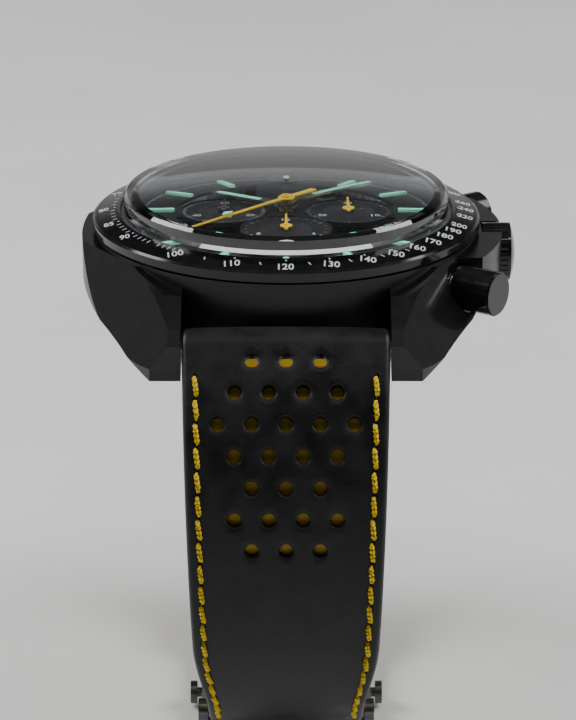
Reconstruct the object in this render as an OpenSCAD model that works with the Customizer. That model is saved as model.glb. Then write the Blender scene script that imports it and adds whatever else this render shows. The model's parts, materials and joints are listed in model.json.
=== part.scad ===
// Chronograph wristwatch in millimetres, standing on its closed strap.
// +Z is up, out of the crystal; +X is towards 3 o'clock, where the crown is; and
// +Y is towards 12 o'clock. z = 0 is the flat of the clasp's cover, and the
// Z axis is the axis of the dial. Modules of the watch head count z from the
// outer face of the case back, and in_head() lifts them onto the strap.

/* [Case] */
// Width of the case across its flanks
case_width = 44.2; // [44:0.1:44.6]
// Radius of the round middle of the case
case_r = 20.6; // [20.5:0.05:20.65]
// Gap between the two lugs of a pair
lug_gap = 21.4; // [21.3:0.1:21.6]
// Distance of each spring bar from the dial's axis
lug_bar_y = 23.1; // [23.05:0.05:23.2]
// Outer radius of the bezel's lip
bezel_r = 20.95; // [20.8:0.05:21.1]
// Outer radius of the crystal
crystal_r = 17.55; // [17.4:0.05:17.6]
// Height of the crystal's top above the case back
crystal_top = 13.8; // [13.6:0.1:14]
// Height of the case back above the clasp's flat
head_z = 48; // [48:0.1:48.2]

/* [Crown and pushers] */
// Radius of the crown
crown_r = 3.15; // [3:0.05:3.2]
// Length of the crown
crown_length = 3.6; // [3.4:0.1:3.8]
// Number of flutes round the crown
crown_flutes = 32; // [24:1:36]
// Radius of a pusher's cap
pusher_r = 2.36; // [2.2:0.02:2.4]
// Angle of each pusher from the crown's axis
pusher_angle = 33.7; // [33.6:0.1:33.8]
// Height of the crown and pushers above the case back
stem_z = 5.6; // [5.6:0.01:5.62]

/* [Dial and hands] */
// Radius of the dial
dial_r = 16.9; // [16.8:0.05:16.9]
// Radius of each sub-dial
subdial_r = 4.9; // [4.7:0.1:5]
// Distance of the sub-dials from the centre
subdial_offset = 6.8; // [6.8:0.01:6.81]
// Clockwise angle of the hour hand from 12 o'clock
hour_angle = 304; // [0:1:359]
// Clockwise angle of the minute hand from 12 o'clock
minute_angle = 48; // [0:1:359]
// Clockwise angle of the chronograph hand from 12 o'clock
chronograph_angle = 221.7; // [0:0.1:359]

/* [Movement] */
// Radius of the main plate
plate_r = 13.3; // [13.25:0.05:13.35]
// Radius of the balance wheel
balance_r = 3.1; // [2.9:0.1:3.1]
// Turns of the hairspring
hairspring_turns = 8; // [6:1:10]
// Turns of each pusher's spring
spring_turns = 5; // [4:1:6]

/* [Strap] */
// Width of the strap at the lugs
strap_width = 21; // [20.8:0.1:21]
// Width of the strap at the clasp
strap_end_width = 18; // [17.6:0.1:18.2]
// Thickness of the leather
leather_t = 1.5; // [1.3:0.1:1.6]
// Thickness of the rubber lining
lining_t = 1.45; // [1.2:0.05:1.5]
// Half the distance across the closed strap, 12 to 6 o'clock
strap_a = 31; // [31:0.1:31.2]

/* [Clasp] */
// Half width of the clasp over its side rails
clasp_half_w = 9.6; // [9.5:0.1:9.7]
// Outer radius of the clasp's curved cover
cover_r = 34.55; // [34.5:0.05:34.6]
// Radius of each clasp hinge pin
hinge_pin_r = 0.4; // [0.35:0.01:0.42]

/* [Hidden] */
$fn = 96;

// A thin gap between pieces of one rigid body
gap = 0.03;
// Running clearance of a turning arbor
run = 0.03;

// Case profile: the flanks are two crossed discs, and the underside is one long arc
flank_r = 40.9;
flank_x = flank_r - case_width / 2;
flank_top = 8.4;
lug_end_y = 24.8;
underside_mid_z = 4.2;
underside_r = 68.6;
bore_r = 17.0;
bar_z = 2.6;
bar_r = 0.82;
bar_tip_r = 0.4;

// Bezel: an undercut lip, then a cone that rises to the crystal
cone_slope = 0.25;
cone_edge_r = bezel_r - 0.25;
cone_edge_z = 10.05;
ring_in_r = 18.45;
ring_out_r = 20.45;
ring_t = 0.3;

// Crown and pushers
crown_x = 21.3;
crown_notch_r = crown_r + 0.3;
pusher_in_r = 22.0;
pusher_out_r = 26.6;
pusher_stem_r = 0.8;
pusher_stem_in = 13.6;
tube_in = 17.05;
tube_out = 21.1;
spring_wire_r = 0.14;
spring_coil_r = 1.13;
spring_in = 19.1;
spring_out = 21.75;

// Layers of the movement, bottom to top
chrono_z = [1.4, 1.7];
ratchet_z = [1.95, 2.35];
bridge_z = [2.5, 3.1];
plate_z = [4.85, 7.0];
dial_z = [8.3, 8.7];
hour_hand_z = [9.45, 9.65];
minute_hand_z = [9.9, 10.1];
chrono_hand_z = [10.35, 10.5];
sub_hand_z = [9.05, 9.2];

// Gear modules and teeth of the going train
barrel_m = 0.16;
barrel_teeth = 72;
centre_pinion_teeth = 12;
centre_m = 0.12;
centre_teeth = 75;
third_m = 0.1;
third_teeth = 80;
fourth_m = 0.09;
fourth_teeth = 70;
leaf_pinion_teeth = 10;
escape_pinion_teeth = 7;
escape_teeth = 15;
escape_r = 1.5;
wind_m = 0.2;
ratchet_teeth = 62;
crown_wheel_teeth = 26;
crown_ring_teeth = 18;
motion_m = 0.1;
motion_small_m = 0.08;

// Centres of the movement's wheels
centre_at = [0, 0];
fourth_at = [-subdial_offset, 0];
barrel_direction = 66;
barrel_at = polar((barrel_teeth + centre_pinion_teeth) * barrel_m / 2, barrel_direction);
third_centre_d = (centre_teeth + leaf_pinion_teeth) * centre_m / 2;
third_fourth_d = (third_teeth + leaf_pinion_teeth) * third_m / 2;
third_x = (pow(third_fourth_d, 2) - pow(third_centre_d, 2) - pow(subdial_offset, 2))
    / (2 * subdial_offset);
third_at = [third_x, -sqrt(pow(third_centre_d, 2) - pow(third_x, 2))];
escape_at = fourth_at + polar((fourth_teeth + escape_pinion_teeth) * fourth_m / 2, 100);
pallet_at = escape_at + polar(2.0, 87);
balance_at = pallet_at + polar(1.8, 87);
crown_wheel_at = barrel_at
    + polar((ratchet_teeth + crown_wheel_teeth) * wind_m / 2, -31);
minute_wheel_at = [0, (36 + 12) * motion_m / 2];
minute_recorder_at = [subdial_offset, 0];
hour_recorder_at = [0, -subdial_offset];
cock_foot_at = [-11.2, 4.6];
lever_pivot_at = [10.4, 4.4];
finger_at = [10.82, 7.2];
finger_r = 0.5;
pillars = [[-1.2, 12.2], [-11.9, -2.6], [-5.5, -10.6], [5.5, -10.6], [11.9, -1.9]];
pillar_r = 0.7;
arbor_r = 0.15;
post_r = 0.2;
jewel_r = 0.42;
spiral_pitch = 0.18;
spiral_steps = 24;
spiral_strip = 0.05;

// Strap: each side is a band round an ellipse from its spring bar to its clasp bar
short_b = 28.74;
short_zc = 31.43;
long_b = 29.24;
long_zc = 31.1;
strap_steps = 40;
strap_top_r = 2.3;
strap_bore_r = 0.9;
strap_loop_r = 1.6;
strap_loop_half_w = 8.4;

// Clasp: curved blades about one axis, and the bars and hinges between them
clasp_axis_z = 34;
cover_t = 1.45;
rail_t = 1.0;
rail_in_r = 31.7;
middle_r = [31.8, 32.6];
middle_half_w = 8.0;
inner_r = [30.6, 31.4];
inner_half_w = 7.5;
knuckle_r = 0.8;
bar_12_r = 31.48;
bar_12_angle = 26;
bar_6_r = 32.19;
bar_6_angle = -26;
hinge_1_r = 32.69;
hinge_1_angle = 18.9;
hinge_2_r = 31.6;
hinge_2_angle = -19;
button_angle = -6;
button_r = 32.4;

function polar(r, a) = [r * cos(a), r * sin(a)];
function direction(from, to) = atan2(to.y - from.y, to.x - from.x);
function clasp_point(r, a) = [r * sin(a), clasp_axis_z - r * cos(a)];
function cone_z(r) = cone_edge_z + (cone_edge_r - r) * cone_slope;

// ---------- shared shapes ----------

module in_head() translate([0, 0, head_z]) children();

module disc(r, z, at = [0, 0]) translate([at.x, at.y, z[0]]) cylinder(r = r, h = z[1] - z[0]);

module tube(r, bore, z, at = [0, 0]) {
    difference() {
        disc(r, z, at);
        disc(bore, [z[0] - 1, z[1] + 1], at);
    }
}

module lathe(points) rotate_extrude() polygon(points);

module rod_x(r, x, y = 0, z = 0) translate([x[0], y, z]) rotate([0, 90, 0]) cylinder(r = r, h = x[1] - x[0]);

module radial_rod(r, x, angle) rotate([0, 0, angle]) rod_x(r, x, 0, stem_z);

module slab(z) translate([0, 0, z[0]]) linear_extrude(z[1] - z[0]) children();

// A thin bar between two points, seen from above
module link_2d(from, to, w) {
    translate(from) rotate(direction(from, to)) translate([0, -w / 2]) square([norm(to - from), w]);
}

module ring_2d(r, bore) difference() {
    circle(r);
    circle(bore);
}

// What lies on the far side of a plane
module beyond(point, normal) {
    tilt = acos(normal.z / norm(normal));
    translate(point) rotate([0, tilt, atan2(normal.y, normal.x)])
        translate([-30, -30, 0]) cube([60, 60, 30]);
}

// A gear outline whose first tooth points along angle a
module gear_2d(teeth, m, a = 0) {
    pitch = 360 / teeth;
    root = (teeth / 2 - 1.1) * m;
    tip = (teeth / 2 + 0.85) * m;
    polygon([
        for (i = [0 : teeth - 1])
            for (corner = [[-0.3, root], [-0.13, tip], [0.13, tip], [0.3, root]])
                polar(corner[1], a + (i + corner[0]) * pitch)
    ]);
}

// The same gear with its spokes cut free between the hub and the rim
module spoked_gear_2d(teeth, m, a, hub_r, spokes = 5) {
    rim_r = (teeth / 2 - 1.1) * m - 0.35;
    difference() {
        gear_2d(teeth, m, a);
        difference() {
            circle(rim_r);
            circle(hub_r);
            for (i = [0 : spokes - 1])
                rotate(i * 360 / spokes) translate([0, -0.17]) square([rim_r + 0.1, 0.34]);
        }
    }
}

// Half a tooth's turn, for a gear that offers a gap to its mate
function gap_angle(towards, teeth) = towards + 180 / teeth;

// A round wire along a helix about X, as one closed skin
module helix_x(r, wire_r, x, turns, sides = 6, per_turn = 16) {
    n = turns * per_turn;
    points = [
        for (i = [0 : n])
            for (k = [0 : sides - 1])
                let (
                    turn = i * 360 / per_turn,
                    around = k * 360 / sides,
                    rr = r + wire_r * cos(around)
                )
                [x[0] + (x[1] - x[0]) * i / n + wire_r * sin(around), rr * cos(turn), rr * sin(turn)]
    ];
    skin = [
        for (i = [0 : n - 1])
            for (k = [0 : sides - 1])
                let (next = (k + 1) % sides, a = i * sides, b = a + sides)
                [a + k, b + k, b + next, a + next]
    ];
    ends = [[for (k = [0 : sides - 1]) k], [for (k = [sides - 1 : -1 : 0]) n * sides + k]];
    polyhedron(points, concat(skin, ends), convexity = 8);
}

// ---------- case ----------

module case_flanks() {
    side = [
        [-lug_end_y + 0.2, -1], [lug_end_y - 0.2, -1], [lug_end_y - 0.2, 0.8], [lug_end_y, 3.4],
        [23.5, 4.8], [19, 6.9], [14, flank_top], [-14, flank_top], [-19, 6.9], [-23.5, 4.8],
        [-lug_end_y, 3.4], [-lug_end_y + 0.2, 0.8]
    ];
    difference() {
        intersection() {
            disc(flank_r, [-1, flank_top], [flank_x, 0]);
            disc(flank_r, [-1, flank_top], [-flank_x, 0]);
            rotate([90, 0, 90]) linear_extrude(case_width + 2, center = true) polygon(side);
        }
        rod_x(underside_r, [-40, 40], 0, underside_mid_z - underside_r, $fn = 360);
        for (y = [12, -30])
            translate([-lug_gap / 2, y, -2]) cube([lug_gap, 18, 12]);
        for (sx = [0, 1], sy = [0, 1])
            mirror([sx, 0, 0]) mirror([0, sy, 0])
                beyond([13.9, -24.6, 0.9], [72.1, -48.1, 49.9]);
    }
}

module crown_guard() {
    intersection() {
        disc(23.4, [2.4, flank_top]);
        translate([15, -11, 0]) cube([12, 22, 12]);
    }
}

module case_middle() color("#1b1c1e") in_head() difference() {
    union() {
        disc(case_r, [1.6, 8.6]);
        case_flanks();
        crown_guard();
    }
    disc(bore_r, [2.8, 9]);
    disc(18.0, [1, 2.9]);
    disc(18.6, [1, 2.05]);
    rod_x(crown_notch_r, [crown_x - 0.1, 30], 0, stem_z);
    rod_x(1.25 + gap, [15, 22], 0, stem_z);
    for (side = [-1, 1]) {
        radial_rod(pusher_r + 0.24, [tube_out, 32], side * pusher_angle);
        radial_rod(1.7 + gap, [15, 22], side * pusher_angle);
        rod_x(bar_tip_r + 0.05, [-12.6, 12.6], side * lug_bar_y, bar_z);
    }
}

module bezel() color("#1e1f21") in_head() lathe([
    [18.0, 8.65], [20.3, 8.65], [20.3, 8.95], [bezel_r, 9.1], [bezel_r, 9.85],
    [cone_edge_r, cone_edge_z],
    [ring_out_r + gap, cone_z(ring_out_r + gap)],
    [ring_out_r + gap, cone_z(ring_out_r + gap) - ring_t - gap],
    [ring_in_r - gap, cone_z(ring_in_r - gap) - ring_t - gap],
    [ring_in_r - gap, cone_z(ring_in_r - gap)],
    [18.2, cone_z(18.2)], [18.0, cone_z(18.2) - 0.15]
]);

module tachymeter_ring() color("#141518") in_head() lathe([
    [ring_in_r, cone_z(ring_in_r) - ring_t], [ring_out_r, cone_z(ring_out_r) - ring_t],
    [ring_out_r, cone_z(ring_out_r)], [ring_in_r, cone_z(ring_in_r)]
]);

// A box crystal: an upright wall with a chamfered shoulder and a shallow dome
module crystal() color("#cfd8dc", 0.35) in_head() {
    dome_r = 129;
    hollow_r = 104;
    crystal_foot = 8.75;
    rotate_extrude() difference() {
        intersection() {
            polygon([
                [0, crystal_foot], [crystal_r, crystal_foot], [crystal_r, 12.3],
                [17.15, 12.7], [16.9, 14], [0, 14]
            ]);
            translate([0, crystal_top - dome_r]) circle(dome_r, $fn = 720);
        }
        polygon([[-1, 8], [16.4, 8], [16.4, 10.6], [15.9, 11], [-1, 11]]);
        intersection() {
            translate([-1, 10.9]) square([16.9, 3]);
            translate([0, 12.2 - hollow_r]) circle(hollow_r, $fn = 720);
        }
    }
}

module crystal_gasket() color("#2a2a2a") in_head() tube(17.95, crystal_r + gap, [8.65, 10.4]);

module dial_flange() color("#17181a") in_head() lathe([
    [16.0, 8.75], [16.35, 8.75], [16.35, 9.9], [16.22, 9.9]
]);

module dial_outline() {
    difference() {
        union() {
            ring_2d(dial_r, 12.1);
            for (at = [minute_recorder_at, hour_recorder_at, fourth_at]) {
                translate(at) circle(subdial_r);
                link_2d(centre_at, at * 12.6 / subdial_offset, 4.4);
            }
            circle(3.4);
            translate([-3.4, 2]) square([6.8, 10.6]);
        }
        circle(0.95);
        for (at = [minute_recorder_at, hour_recorder_at, fourth_at])
            translate(at) circle(post_r + 0.1);
    }
}

module dial_plate() color("#0f1012") in_head() {
    slab(dial_z) dial_outline();
    for (at = [minute_recorder_at, hour_recorder_at, fourth_at])
        tube(subdial_r, subdial_r - 0.3, [dial_z[0], dial_z[1] + 0.12], at);
}

module hour_indices() color("#bfe6cf") in_head() {
    for (hour = [0 : 11])
        rotate([0, 0, 90 - hour * 30])
            translate([12.2, -0.31, dial_z[1] + 0.01]) cube([3.3, 0.62, 0.34]);
}

module caseback() color("#8f9193") in_head() difference() {
    lathe([
        [14.2, 0], [16.8, 0], [18.4, 0.9], [18.9, 0.95], [18.9, 1.55], [17.9, 1.55],
        [17.9, 2.8], [16.9, 2.8], [16.9, 1.2], [14.65, 1.2], [14.65, 0.12], [14.2, 0.12]
    ]);
    for (i = [0 : 5])
        rotate([0, 0, i * 60 + 30]) translate([17.3, -1, -0.1]) cube([1.0, 2, 0.8]);
}

module caseback_crystal() color("#cfd8dc", 0.35) in_head() disc(14.62, [0.15, 1.05]);

module caseback_gasket() color("#2a2a2a") in_head() tube(18.5, 18.1, [1.62, 2.02]);

module movement_ring() color("#6d6f72") in_head() difference() {
    tube(16.95, plate_r + 0.2, [2.85, 7.9]);
    radial_rod(0.95, [12, 18], 0);
    for (side = [-1, 1])
        radial_rod(0.95, [12, 18], side * pusher_angle);
}

// ---------- crown and pushers ----------

module crown() color("#232427") in_head() {
    dome_r = 9;
    end_x = crown_x + crown_length;
    difference() {
        intersection() {
            rod_x(crown_r, [crown_x, end_x], 0, stem_z);
            translate([end_x - dome_r, 0, stem_z]) sphere(dome_r, $fn = 160);
        }
        for (i = [0 : crown_flutes - 1])
            rotate_about_stem(i * 360 / crown_flutes)
                rod_x(0.13, [crown_x + 0.5, end_x - 0.9], 0, stem_z + crown_r + 0.03, $fn = 24);
        rod_x(0.6 + gap, [crown_x - 1, crown_x + 2.4], 0, stem_z);
    }
}

module rotate_about_stem(a) {
    translate([0, 0, stem_z]) rotate([a, 0, 0]) translate([0, 0, -stem_z]) children();
}

module case_tubes() color("#9a9c9f") in_head() {
    difference() {
        rod_x(1.25, [tube_in, tube_out], 0, stem_z);
        rod_x(0.6 + 0.05, [tube_in - 1, tube_out + 1], 0, stem_z);
    }
    for (side = [-1, 1])
        difference() {
            radial_rod(1.7, [tube_in, tube_out], side * pusher_angle);
            radial_rod(pusher_stem_r + 0.05, [tube_in - 1, tube_out + 1], side * pusher_angle);
            radial_rod(1.4, [spring_in - 0.05, tube_out + 1], side * pusher_angle);
        }
}

// A pusher is one turned piece: its cap outside the case and its stem within
module pusher(side) in_head() {
    difference() {
        union() {
            radial_rod(pusher_r - 0.15, [pusher_in_r, pusher_out_r], side * pusher_angle);
            radial_rod(pusher_r, [pusher_in_r, pusher_out_r - 0.2], side * pusher_angle);
            radial_rod(pusher_stem_r, [pusher_stem_in, pusher_out_r - 1], side * pusher_angle);
        }
        difference() {
            radial_rod(1.45, [pusher_in_r - 1, pusher_in_r + 1.2], side * pusher_angle);
            radial_rod(pusher_stem_r, [pusher_stem_in, pusher_out_r], side * pusher_angle);
        }
    }
}

module start_pusher() color("#232427") pusher(1);

module reset_pusher() color("#232427") pusher(-1);

// Each spring is drawn at its pressed length, so it stays clear of its pusher
module pusher_springs() color("#b9bcc0") in_head() {
    for (side = [-1, 1])
        rotate([0, 0, side * pusher_angle]) translate([0, 0, stem_z])
            helix_x(spring_coil_r, spring_wire_r, [spring_in + 0.2, spring_out - 0.2], spring_turns);
}

module spring_bars() color("#b9bcc0") in_head() {
    for (y = [-lug_bar_y, lug_bar_y]) {
        rod_x(bar_r, [-10.5, 10.5], y, bar_z);
        rod_x(bar_tip_r, [-12.4, 12.4], y, bar_z);
    }
}

// ---------- movement ----------

module main_plate() color("#8d9094") in_head() difference() {
    union() {
        disc(plate_r, plate_z);
        for (at = pillars)
            disc(pillar_r, [bridge_z[1], plate_z[0] + 0.1], at);
        disc(0.75, [bridge_z[0] - 0.1, plate_z[0] + 0.1], cock_foot_at);
    }
    disc(0.5, [4, 8], centre_at);
    disc(0.55, [4, 5.4], barrel_at);
    for (at = [minute_recorder_at, hour_recorder_at, fourth_at])
        disc(post_r + 0.1, [4, 8], at);
    for (at = [third_at, fourth_at, escape_at, pallet_at, balance_at])
        disc(jewel_r + gap, [4, 5.3], at);
    for (sy = [0, 1])
        mirror([0, sy, 0]) disc(1.5, [4, 8], [finger_at.x - 0.42, finger_at.y]);
    rod_x(0.75, [7.3, 14], 0, stem_z);
    translate([8.8, -1.25, 4]) cube([1.2, 2.5, 2.75]);
    for (at = pillars)
        disc(0.3, [bridge_z[1] - 0.1, 4.4], at);
    disc(0.3, [bridge_z[0] - 0.2, 4.4], cock_foot_at);
}

module barrel() color("#b08d57") in_head() {
    towards = direction(barrel_at, centre_at);
    difference() {
        union() {
            translate(barrel_at) slab([3.92, 4.28]) gear_2d(barrel_teeth, barrel_m, towards);
            disc(5.3, [3.3, 4.28], barrel_at);
        }
        disc(0.55, [3, 5], barrel_at);
    }
}

// The ratchet wheel is fixed on the barrel's arbor
module ratchet_wheel() color("#b9bcc0") in_head() {
    towards = direction(barrel_at, crown_wheel_at);
    translate(barrel_at) slab(ratchet_z) difference() {
        gear_2d(ratchet_teeth, wind_m, towards);
        for (i = [0 : 4]) rotate(i * 72) translate([3.6, 0]) circle(1.0);
    }
    disc(0.5, [ratchet_z[0], 5.3], barrel_at);
}

module crown_wheel() color("#b9bcc0") in_head() {
    towards = direction(crown_wheel_at, barrel_at);
    at = crown_wheel_at;
    translate(at) slab(ratchet_z) gear_2d(crown_wheel_teeth, wind_m, gap_angle(towards, crown_wheel_teeth));
    translate(at) slab([4.0, 4.45]) gear_2d(crown_ring_teeth, wind_m, 0);
    disc(0.6, [ratchet_z[0], 4.45], at);
}

module centre_wheel() color("#c9a25a") in_head() {
    difference() {
        union() {
            slab([4.45, 4.65]) spoked_gear_2d(centre_teeth, centre_m, direction(centre_at, third_at), 0.9);
            slab([3.92, 4.28])
                gear_2d(centre_pinion_teeth, barrel_m,
                    gap_angle(direction(centre_at, barrel_at), centre_pinion_teeth));
            disc(0.45, [bridge_z[0], 6.9]);
        }
        disc(post_r + 0.06, [1, 9]);
    }
}

module third_wheel() color("#c9a25a") in_head() {
    translate(third_at) {
        slab([3.6, 3.8]) spoked_gear_2d(third_teeth, third_m, direction(third_at, fourth_at), 0.7);
        slab([4.35, 4.7])
            gear_2d(leaf_pinion_teeth, centre_m,
                gap_angle(direction(third_at, centre_at), leaf_pinion_teeth));
        disc(0.3, [3.3, 4.8]);
        disc(arbor_r, [2.65, 5.25]);
    }
}

module fourth_wheel() color("#c9a25a") in_head() {
    translate(fourth_at) {
        slab([4.1, 4.3]) spoked_gear_2d(fourth_teeth, fourth_m, direction(fourth_at, escape_at), 0.6);
        slab([3.5, 3.9])
            gear_2d(leaf_pinion_teeth, third_m,
                gap_angle(direction(fourth_at, third_at), leaf_pinion_teeth));
        disc(0.3, [3.3, 4.8]);
        disc(arbor_r, [2.65, 5.25]);
        disc(post_r - 0.03, [5.2, sub_hand_z[1] - 0.05]);
    }
}

module escape_wheel() color("#d7d9db") in_head() {
    pitch = 360 / escape_teeth;
    translate(escape_at) {
        slab([3.5, 3.7]) difference() {
            polygon([
                for (i = [0 : escape_teeth - 1])
                    for (corner = [
                        [-0.35, escape_r - 0.4], [0.2, escape_r], [0.3, escape_r], [0.3, escape_r - 0.4]
                    ])
                        polar(corner[1], (i + corner[0]) * pitch)
            ]);
            difference() {
                circle(escape_r - 0.6);
                circle(0.4);
                for (i = [0 : 3]) rotate(i * 90) translate([0, -0.09]) square([1.2, 0.18]);
            }
        }
        slab([4.05, 4.4])
            gear_2d(escape_pinion_teeth, fourth_m,
                gap_angle(direction(escape_at, fourth_at), escape_pinion_teeth));
        disc(0.18, [3.4, 4.5]);
        disc(arbor_r, [2.65, 5.25]);
    }
}

// The fork's two stones stand clear of the escape wheel, and its horns of the staff
module pallet_fork() color("#d7d9db") in_head() {
    to_balance = direction(pallet_at, balance_at);
    translate(pallet_at) rotate([0, 0, to_balance]) {
        slab([3.45, 3.7]) {
            translate([-0.2, -0.14]) square([1.3, 0.28]);
            translate([1.0, -0.35]) square([0.12, 0.7]);
            for (y = [-0.35, 0.23]) translate([1.0, y]) square([0.35, 0.12]);
            translate([-0.3, -1.0]) square([0.3, 2.0]);
            for (y = [-1.12, 0.92]) translate([-0.42, y]) square([0.42, 0.2]);
        }
        disc(arbor_r, [3.05, 5.25]);
    }
}

module balance_wheel() color("#c9a25a") in_head() {
    translate(balance_at) {
        slab([2.6, 2.95]) difference() {
            circle(balance_r);
            difference() {
                circle(balance_r - 0.4);
                for (i = [0 : 2]) rotate(i * 60) translate([-balance_r, -0.15]) square([2 * balance_r, 0.3]);
                circle(0.45);
            }
        }
        disc(0.3, [2.6, 3.2]);
        disc(arbor_r - 0.03, [2.05, 5.25]);
    }
}

// A point on one face of the hairspring's strip, wound outwards from its collet
function spiral(i, side) =
    polar(0.5 + spiral_pitch * i / spiral_steps + side * spiral_strip / 2, i * 360 / spiral_steps);

module hairspring() color("#5d7fb3") in_head() {
    n = hairspring_turns * spiral_steps;
    translate(balance_at) {
        slab([2.46, 2.55])
            polygon([for (i = [0 : n]) spiral(i, 1), for (i = [n : -1 : 0]) spiral(i, -1)]);
        tube(0.52, arbor_r, [2.46, 2.55]);
    }
}

module balance_cock() color("#a7aaad") in_head() difference() {
    union() {
        disc(0.9, [1.9, bridge_z[0] - 0.13], cock_foot_at);
        disc(0.75, [1.9, 2.35], balance_at);
        slab([1.9, 2.35]) link_2d(cock_foot_at, balance_at, 1.4);
    }
    disc(jewel_r + gap, [2.05, 3], balance_at);
    disc(0.35, [1, 3], cock_foot_at);
}

module three_quarter_bridge() color("#a7aaad") in_head() difference() {
    disc(plate_r - 0.2, bridge_z);
    disc(balance_r + 0.2, [2, 4], balance_at);
    disc(1.3, [2, 4], cock_foot_at);
    disc(0.5, [2, 4], centre_at);
    disc(0.55, [2, 4], barrel_at);
    disc(0.7, [2, 4], crown_wheel_at);
    for (at = [minute_recorder_at, hour_recorder_at])
        disc(post_r + 0.06, [2, 4], at);
    for (at = [third_at, fourth_at, escape_at])
        disc(jewel_r + gap, [2, 4], at);
    for (at = pillars)
        disc(0.35, [2, 4], at);
}

module chronograph_wheel() color("#c9a25a") in_head() {
    slab(chrono_z) spoked_gear_2d(110, 0.08, 0, 0.9, 6);
    disc(0.6, [chrono_z[0], 1.9]);
    disc(post_r, [chrono_z[0], chrono_hand_z[0] + 0.1]);
}

module recorder(at) in_head() {
    translate(at) {
        slab(chrono_z) spoked_gear_2d(52, 0.08, 0, 0.6, 5);
        disc(0.5, [chrono_z[0], 1.9]);
        disc(post_r, [chrono_z[0], sub_hand_z[1] - 0.05]);
    }
}

module minute_recorder() color("#c9a25a") recorder(minute_recorder_at);

module hour_recorder() color("#c9a25a") recorder(hour_recorder_at);

// A lever whose upright finger meets the pusher's stem
module pusher_lever() {
    difference() {
        union() {
            slab([3.3, 3.7]) {
                translate(lever_pivot_at) circle(0.8);
                link_2d(lever_pivot_at, finger_at, 0.8);
                translate(finger_at) circle(finger_r);
                link_2d(lever_pivot_at, lever_pivot_at + [-1.4, -0.6], 0.7);
            }
            disc(finger_r, [3.3, 6.2], finger_at);
        }
        disc(0.35 + run, [3, 4], lever_pivot_at);
    }
}

module operating_lever() color("#d7d9db") in_head() pusher_lever();

module reset_hammer() color("#d7d9db") in_head() mirror([0, 1, 0]) pusher_lever();

module winding_stem() color("#b9bcc0") in_head() {
    rod_x(0.6, [7.6, crown_x + 2.3], 0, stem_z);
}

module winding_pinion() color("#b9bcc0") in_head() {
    translate([9.0, 0, stem_z]) rotate([90, 0, 90]) linear_extrude(0.8) difference() {
        gear_2d(10, wind_m, 90);
        circle(0.65);
    }
}

module cannon_pinion() color("#b9bcc0") in_head() {
    towards = direction(centre_at, minute_wheel_at);
    difference() {
        union() {
            slab([7.15, 7.5]) gear_2d(12, motion_m, towards);
            disc(0.45, [7.15, minute_hand_z[0] + 0.05]);
        }
        disc(post_r + 0.06, [6, 12]);
    }
}

module minute_wheel() color("#c9a25a") in_head() {
    towards = direction(minute_wheel_at, centre_at);
    translate(minute_wheel_at) difference() {
        union() {
            slab([7.15, 7.5]) gear_2d(36, motion_m, gap_angle(towards, 36));
            slab([7.4, 8.0]) gear_2d(12, motion_small_m, towards);
        }
        disc(0.2 + run, [7, 9]);
    }
}

module hour_wheel() color("#c9a25a") in_head() {
    towards = direction(centre_at, minute_wheel_at);
    difference() {
        union() {
            slab([7.65, 8.0]) gear_2d(48, motion_small_m, gap_angle(towards, 48));
            disc(0.8, [7.65, hour_hand_z[0] + 0.05]);
        }
        disc(0.5, [7, 11]);
    }
}

// The screws hold the bridge on its pillars and the cock on its foot, and three
// shouldered ones carry the levers and the minute wheel
module movement_screws() color("#4d6ea8") in_head() {
    for (at = pillars) {
        disc(0.65, [2.2, bridge_z[0]], at);
        disc(0.27, [2.2, 4.3], at);
    }
    disc(0.6, [1.65, 1.9], cock_foot_at);
    disc(0.27, [1.65, 4.3], cock_foot_at);
    for (sy = [0, 1])
        mirror([0, sy, 0]) {
            disc(0.35, [3.15, plate_z[0]], lever_pivot_at);
            disc(0.6, [3.13, 3.25], lever_pivot_at);
        }
    disc(0.2, [plate_z[1], 8.1], minute_wheel_at);
}

module jewels() color("#b3164a") in_head() {
    for (at = [third_at, fourth_at, escape_at])
        tube(jewel_r, arbor_r + run, [2.6, 3.0], at);
    for (at = [third_at, fourth_at, escape_at, pallet_at, balance_at])
        tube(jewel_r, arbor_r + run, [4.88, 5.25], at);
    tube(jewel_r, arbor_r, [2.08, 2.34], balance_at);
}

// ---------- hands ----------

module clockwise(a) rotate([0, 0, -a]) children();

// A baton hand along +Y with a pointed end and a round boss
module baton_2d(length, w, tail, boss_r, post) {
    difference() {
        union() {
            polygon([
                [-w / 2, -tail], [w / 2, -tail], [w / 2, length - w],
                [0, length], [-w / 2, length - w]
            ]);
            circle(boss_r);
        }
        circle(post);
    }
}

module hour_hand() color("#c8c9c4") in_head() clockwise(hour_angle) slab(hour_hand_z)
    baton_2d(10.2, 1.3, 0.5, 1.35, 0.8 + gap);

module minute_hand() color("#c8c9c4") in_head() clockwise(minute_angle) slab(minute_hand_z)
    baton_2d(13.6, 1.15, 0.5, 1.1, 0.45 + gap);

module chronograph_hand() color("#e6c81e") in_head() clockwise(chronograph_angle) {
    slab(chrono_hand_z) difference() {
        union() {
            polygon([[-0.42, -4.6], [0.42, -4.6], [0.24, 0], [0.09, 15.7], [-0.09, 15.7], [-0.24, 0]]);
            translate([0, 9.3]) rotate(45) square([0.9, 0.9], center = true);
            circle(0.9);
        }
        circle(post_r + gap);
    }
    tube(0.55, post_r + gap, [chrono_hand_z[0], chrono_hand_z[1] + 0.25]);
}

module counter_hand(at) in_head() translate(at) {
    slab(sub_hand_z) difference() {
        union() {
            polygon([[-0.2, -1.3], [0.2, -1.3], [0.09, 4.4], [-0.09, 4.4]]);
            circle(0.65);
        }
        circle(post_r + 0.01);
    }
}

module seconds_hand() color("#3a3c40") counter_hand(fourth_at);

module minute_counter_hand() color("#e6c81e") counter_hand(minute_recorder_at);

module hour_counter_hand() color("#e6c81e") counter_hand(hour_recorder_at);

// ---------- strap ----------

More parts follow.
